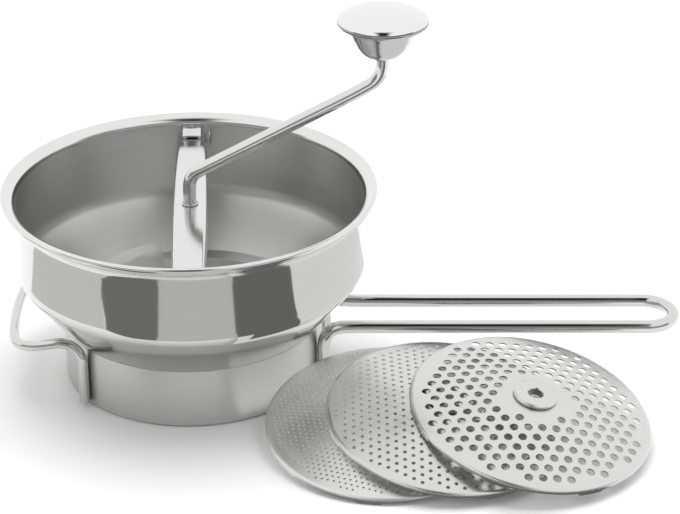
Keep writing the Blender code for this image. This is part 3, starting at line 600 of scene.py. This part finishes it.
def disc_mesh(name, centres, hole_r, sides, tab):
    pts, owner, loops = [], [], []
    def loop(points, tag):
        start = len(pts)
        for p in points:
            pts.append(Vector(p))
            owner.append(tag)
        loops.append((start, len(points), tag))
    nr = 240
    loop([(DEDGE * math.cos(2 * math.pi * k / nr), DEDGE * math.sin(2 * math.pi * k / nr)) for k in range(nr)], -1)
    nf = 72
    loop([(DFLAT * math.cos(2 * math.pi * k / nf), DFLAT * math.sin(2 * math.pi * k / nf)) for k in range(nf)], -2)
    for i, (x, y) in enumerate(centres):
        loop([(x + hole_r * math.cos(2 * math.pi * (k + 0.5) / sides), y + hole_r * math.sin(2 * math.pi * (k + 0.5) / sides))
              for k in range(sides)], i)
    edges = []
    for start, n, tag in loops:
        edges += [(start + k, start + (k + 1) % n) for k in range(n)]
    v2, _, tris, ov, _, _ = delaunay_2d_cdt(pts, edges, [], 0, 1e-6, True)
    own = [owner[o[0]] if o else -9 for o in ov]
    verts = [(p.x, p.y) for p in v2]
    top_tris = []
    for t in tris:
        o = {own[i] for i in t}
        if len(o) == 1 and -1 not in o:
            continue
        a, b, c = t
        (ax, ay), (bx, by), (cx, cy) = verts[a], verts[b], verts[c]
        if (bx - ax) * (cy - ay) - (by - ay) * (cx - ax) < 0:
            t = (a, c, b)
        top_tris.append(tuple(t))
    # ring between the flat and the hub's hole
    n0 = len(verts)
    ids = {}
    for i, o in enumerate(ov):
        for k in o:
            ids[k] = i
    flat_loop = [ids[nr + k] for k in range(nf)]
    rim_loop = [ids[k] for k in range(nr)]
    inner = []
    for k in range(nf):
        a = 2 * math.pi * k / nf
        inner.append(len(verts))
        verts.append((6.6 * math.cos(a), 6.6 * math.sin(a)))
    top_faces = list(top_tris)
    for k in range(nf):
        m = (k + 1) % nf
        top_faces.append((flat_loop[k], flat_loop[m], inner[m], inner[k]))
    nv = len(verts)
    V = [(x, y, cone_top(math.hypot(x, y))) for x, y in verts] + \
        [(x, y, cone_top(math.hypot(x, y)) - DT) for x, y in verts]
    faces, normals, fm = [], [], []
    sl = (DCONE - 1.0) / (DEDGE - DFLAT)
    def cone_n(i, flat=False):
        x, y = verts[i]
        r = math.hypot(x, y)
        if flat or r < DFLAT - 0.5:
            return Vector((0, 0, 1))
        return Vector((x / r * sl, y / r * sl, 1)).normalized()
    for fi, f in enumerate(top_faces):
        flat = fi >= len(top_tris)
        faces.append(tuple(f)); fm.append(0)
        normals += [cone_n(i, flat) for i in f]
        faces.append(tuple(i + nv for i in reversed(f))); fm.append(0)
        normals += [-cone_n(i, flat) for i in reversed(f)]
    # hole walls
    for start, n, tag in loops:
        if tag < 0:
            continue
        cx, cy = centres[tag]
        lp = [ids[start + k] for k in range(n)]
        for k in range(n):
            a, b = lp[k], lp[(k + 1) % n]
            faces.append((a, b, b + nv, a + nv)); fm.append(1)
            for i in (a, b, b, a):
                d = Vector((cx - verts[i][0], cy - verts[i][1], 0)).normalized()
                normals.append(d)
    for k in range(nf):
        a, b = inner[k], inner[(k + 1) % nf]
        faces.append((a, b, b + nv, a + nv)); fm.append(1)
        for i in (a, b, b, a):
            normals.append(Vector((-verts[i][0], -verts[i][1], 0)).normalized())
    # turned-down edge, with eight short tabs
    def foot(k):
        ph = (360.0 * k / nr - tab + 22.5) % 45.0 - 22.5
        return -DTAB if abs(ph) < 6.2 else -DF
    prof_out = [(DEDGE, 1.0), (DR - 2.0, 0.88), (DR - 1.2, 0.55), (DR - 0.55, 0.0), (DR - 0.12, -0.7), (DR, -1.3)]
    prof_in = [(DR - 0.8, -1.3), (DR - 1.0, -0.8), (DR - 1.5, -0.3), (DR - 2.1, 0.05), (DEDGE, 0.2)]
    def ring(r, z):
        base = len(V)
        for k in range(nr):
            a = 2 * math.pi * k / nr
            V.append((r * math.cos(a), r * math.sin(a), z(k) if callable(z) else z))
        return [base + k for k in range(nr)]
    chain = [rim_loop] + [ring(r, z) for r, z in prof_out[1:]] + \
        [ring(DR, lambda k: foot(k) + 0.15), ring(DR - 0.15, foot), ring(DR - 0.65, foot), ring(DR - 0.8, lambda k: foot(k) + 0.15)] + \
        [ring(r, z) for r, z in prof_in[:-1]] + [[i + nv for i in rim_loop]]
    prof = prof_out + [(DR, -DF + 0.15), (DR - 0.15, -DF), (DR - 0.65, -DF), (DR - 0.8, -DF + 0.15)] + prof_in
    pn = []
    for i in range(len(prof)):
        a, b = prof[max(0, i - 1)], prof[min(len(prof) - 1, i + 1)]
        dr, dz = b[0] - a[0], b[1] - a[1]
        pn.append(Vector((-dz, dr)).normalized())
    pn[0] = Vector((sl, 1)).normalized()
    pn[-1] = Vector((-sl, -1)).normalized()
    for i in range(len(prof)):
        if i < len(prof) // 2 and pn[i][0] < 0 and i > 0:
            pn[i] = -pn[i]
    for i in range(len(chain) - 1):
        for k in range(nr):
            m = (k + 1) % nr
            f = (chain[i][k], chain[i + 1][k], chain[i + 1][m], chain[i][m])
            faces.append(f); fm.append(0)
            for idx, row, kk in ((f[0], i, k), (f[1], i + 1, k), (f[2], i + 1, m), (f[3], i, m)):
                a = 2 * math.pi * kk / nr
                p = pn[row]
                normals.append(Vector((p[0] * math.cos(a), p[0] * math.sin(a), p[1])))
    return V, faces, fm, normals


def hexgrid(pitch, inner_r, outer_r, turn, off):
    """Staggered rows of holes, pitch apart, turned by turn degrees and then shifted by off."""
    t = math.radians(turn)
    out = []
    for j in range(-60, 61):
        for i in range(-60, 61):
            x = pitch * (i + 0.5 * (j % 2))
            y = pitch * 0.8660254 * j
            p = (x * math.cos(t) - y * math.sin(t) + off[0], x * math.sin(t) + y * math.cos(t) + off[1])
            if inner_r <= math.hypot(*p) <= outer_r:
                out.append(p)
    return out


PATTERN = {
    "fine": (hexgrid(3.79, 21.5, 70.9, 39.6, (-0.28, 1.80)), 0.70, 8, -99.3),
    "medium": (hexgrid(5.81, 22.5, 71.0, 31.5, (0.99, 2.05)), 1.22, 10, -68.5),
    "coarse": (hexgrid(8.75, 23.2, 68.9, 6.9, (-0.09, 1.93)), 2.65, 20, 26.3),
}
HC = DCONE
hub_prof = arcs([(4.7, HC - 2.4, 0), (6.2, HC - 2.4, 0.2), (6.2, HC + 0.3, 0.2), (13.85, HC + 0.3, 0.3), (13.85, HC + 1.7, 0.7),
                 (12.2, HC + DHUB, 1.2), (5.4, HC + DHUB, 0.6), (4.7, HC + DHUB - 0.7, 0)], 5)
for key, pose in POSES.items():
    centres, hr_, sides, tab = PATTERN[key]
    V, F, FM, N = disc_mesh(key, centres, hr_, sides, tab)
    m = disc_frame(pose)
    turn3 = m.to_3x3()
    sheet = DISC_FINE if key == "fine" else DISC
    ob = make("grating_" + key, V, F, [sheet, DISC_EDGE], FM)
    keep_local(ob.data)
    ob.data.transform(m)
    ob.data.normals_split_custom_set([turn3 @ n for n in N])
    ob.matrix_world = Matrix.Identity(4)
    finish_piece(ob, key + "_disc", "disc_steel", "disc_" + key)
    h = lathe("grating_hub_" + key, hub_prof, [sheet], 96)
    keep_local(h.data)
    h.data.transform(m)
    h.matrix_world = Matrix.Identity(4)
    finish_piece(h, key + "_disc", "disc_steel", "disc_%s_hub" % key)

# ------------------------------------------------------------------ spring
SPRING_LO, SPRING_HI, SPRING_WIRE, SPRING_FIXED = 74.75, 110.4, 0.75, 111.3
coil = []
for k in range(7 * 32 + 1):
    f = k / (7 * 32)
    a = 2 * math.pi * 7 * f
    g = f * f * (3 - 2 * f)
    coil.append((7.2 * math.cos(a), 7.2 * math.sin(a), SPRING_LO + (SPRING_HI - SPRING_LO) * (0.06 * f + 0.94 * g)))
spring = tube("pressure_coil", coil, SPRING_WIRE, [SPRING_M], 12, 0.4)
finish_piece(spring, "bar", "spring_steel", "pressure_spring")
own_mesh(spring)

# ------------------------------------------------------------------ CAD nodes kept, with better finishes
keep = {"pressing_blade": BLADE, "blade_hub": BLADE, "hub_pin": BLADE, "rod_collar": ROD, "knob_clip": SPRING_M,
        "upper_spring_seat": BLADE, "lower_spring_seat": BLADE, "bar_bush": NYLON,
        "knob_bush": NYLON}
for n, mat in keep.items():
    ob = frame["nodes"][n]
    ob.data.materials.clear()
    ob.data.materials.append(mat)

# ------------------------------------------------------------------ floor
def floor_material():
    mat = bpy.data.materials.new("floor_white")
    mat.use_nodes = True
    nt = mat.node_tree
    bsdf = nt.nodes["Principled BSDF"]
    n = nt.nodes.new("ShaderNodeTexNoise")
    n.inputs["Scale"].default_value = 3.0
    coord = nt.nodes.new("ShaderNodeTexCoord")
    nt.links.new(coord.outputs["Object"], n.inputs["Vector"])
    ramp = nt.nodes.new("ShaderNodeValToRGB")
    ramp.color_ramp.elements[0].color = (0.88, 0.88, 0.88, 1)
    ramp.color_ramp.elements[1].color = (0.90, 0.90, 0.90, 1)
    nt.links.new(n.outputs["Fac"], ramp.inputs["Fac"])
    nt.links.new(ramp.outputs["Color"], bsdf.inputs["Base Color"])
    bsdf.inputs["Roughness"].default_value = 0.9
    bsdf.inputs["Specular IOR Level"].default_value = 0.1
    return mat


fm_ = floor_material()
floor = make("floor", [(-9000, -9000, -0.05), (9000, -9000, -0.05), (9000, 9000, -0.05), (-9000, 9000, -0.05)],
             [(0, 1, 2, 3)], [fm_])

# ------------------------------------------------------------------ light
def smooth(nt, value, lo, hi, a, b):
    n = nt.nodes.new("ShaderNodeMapRange")
    n.interpolation_type = 'SMOOTHSTEP'
    n.inputs["From Min"].default_value = lo
    n.inputs["From Max"].default_value = hi
    n.inputs["To Min"].default_value = a
    n.inputs["To Max"].default_value = b
    nt.links.new(value, n.inputs["Value"])
    return n.outputs[0]


def math_node(nt, op, a, b):
    n = nt.nodes.new("ShaderNodeMath")
    n.operation = op
    for k, v in ((0, a), (1, b)):
        if isinstance(v, (int, float)):
            n.inputs[k].default_value = v
        else:
            nt.links.new(v, n.inputs[k])
    return n.outputs[0]


# A studio: bright behind, above and at both sides, with a dark strip over the camera and a grey room behind it.
world = bpy.data.worlds.new("studio")
world.use_nodes = True
bpy.context.scene.world = world
wn = world.node_tree
bg = wn.nodes["Background"]
wc = wn.nodes.new("ShaderNodeTexCoord")
ws = wn.nodes.new("ShaderNodeSeparateXYZ")
wn.links.new(wc.outputs["Generated"], ws.inputs[0])
X, Y, Z = ws.outputs
across = math_node(wn, 'ABSOLUTE', X, 0.0)
back = smooth(wn, Y, -0.34, -0.10, 0.0, 1.13)
high_sides = math_node(wn, 'MULTIPLY', smooth(wn, across, 0.08, 0.32, 0.0, 1.13), smooth(wn, Z, 0.28, 0.50, 0.0, 1.0))
low_front = smooth(wn, Z, 0.42, 0.60, 0.33, 0.03)
level = math_node(wn, 'MAXIMUM', math_node(wn, 'MAXIMUM', back, high_sides), low_front)
wn.links.new(level, bg.inputs["Strength"])
bg.inputs["Color"].default_value = (1.0, 1.0, 1.0, 1)


def area(name, loc, target, size, power, size_y=None, glossy=True):
    d = bpy.data.lights.new(name, 'AREA')
    d.energy = power
    d.shape = 'RECTANGLE'
    d.size = size
    d.size_y = size_y or size
    o = bpy.data.objects.new(name, d)
    bpy.context.scene.collection.objects.link(o)
    o.location = loc
    o.rotation_euler = (Vector(target) - Vector(loc)).to_track_quat('-Z', 'Y').to_euler()
    o.visible_glossy = glossy
    return o


area("key_top", (0.0, 0.5, 2.2), (0, 0, 0), 2.4, 32.0, 1.8, glossy=False)


def card(name, level, edges, height=0.3, one_sided=False):
    """A studio card lying in front of the mill, which only polished surfaces show.

    edges gives (radius, first azimuth, last azimuth) rows, in degrees from the front.
    """
    mat = bpy.data.materials.new(name)
    mat.use_nodes = True
    nt = mat.node_tree
    nt.nodes.remove(nt.nodes["Principled BSDF"])
    em = nt.nodes.new("ShaderNodeEmission")
    em.inputs["Strength"].default_value = level
    if one_sided:
        side = nt.nodes.new("ShaderNodeNewGeometry")
        clear = nt.nodes.new("ShaderNodeBsdfTransparent")
        mix = nt.nodes.new("ShaderNodeMixShader")
        nt.links.new(side.outputs["Backfacing"], mix.inputs[0])
        nt.links.new(em.outputs[0], mix.inputs[1])
        nt.links.new(clear.outputs[0], mix.inputs[2])
        nt.links.new(mix.outputs[0], nt.nodes["Material Output"].inputs["Surface"])
    else:
        nt.links.new(em.outputs[0], nt.nodes["Material Output"].inputs["Surface"])
    verts, faces = [], []
    n = 12
    for r, az0, az1 in edges:
        for k in range(n + 1):
            a = math.radians(az0 + (az1 - az0) * k / n)
            verts.append((r * math.sin(a), -r * math.cos(a), height))
    for i in range(len(edges) - 1):
        for k in range(n):
            j = i * (n + 1) + k
            faces.append((j, j + n + 1, j + n + 2, j + 1))
    ob = make(name, verts, faces, [mat], at=MILL)
    ob.visible_camera = False
    ob.visible_diffuse = False
    ob.visible_transmission = False
    ob.visible_volume_scatter = False
    ob.visible_shadow = False


card("card_left", 0.72, [(225.0, -100.0, -40.0), (300.0, -100.0, -46.0), (640.0, -100.0, -46.0)])
card("card_dark_left", 0.20, [(165.0, -26.0, -14.0), (180.0, -32.0, -14.0), (200.0, -37.0, -14.0), (225.0, -40.5, -14.0),
                              (260.0, -42.5, -14.0), (300.0, -46.0, -14.0), (640.0, -46.0, -14.0)])
card("card_middle", 0.62, [(165.0, -14.0, 25.0), (640.0, -14.0, 25.0)])
card("card_dark_right", 0.17, [(165.0, 25.0, 35.0), (180.0, 25.0, 42.0), (200.0, 25.0, 48.0), (225.0, 25.0, 53.0),
                               (260.0, 25.0, 56.5), (300.0, 25.0, 58.0), (640.0, 25.0, 58.0)])
card("card_beside_ring", 0.90, [(92.0, 25.0, 112.0), (165.0, 25.0, 112.0)])
# The photograph's bowl doesn't mirror the discs beside it, so a card over them hides them from mirror rays coming down.
card("card_over_discs", 0.90, [(118.0, 50.0, 115.0), (200.0, 54.0, 115.0), (300.0, 57.0, 115.0), (330.0, 57.0, 115.0)], 42.0, True)
card("card_dark_over_discs", 0.17, [(113.0, 26.0, 50.0), (160.0, 31.0, 52.0), (200.0, 36.0, 54.0), (300.0, 40.0, 57.0)], 42.0, True)
for piece in ("grating_fine", "grating_hub_fine"):
    bpy.data.objects[piece].visible_glossy = False
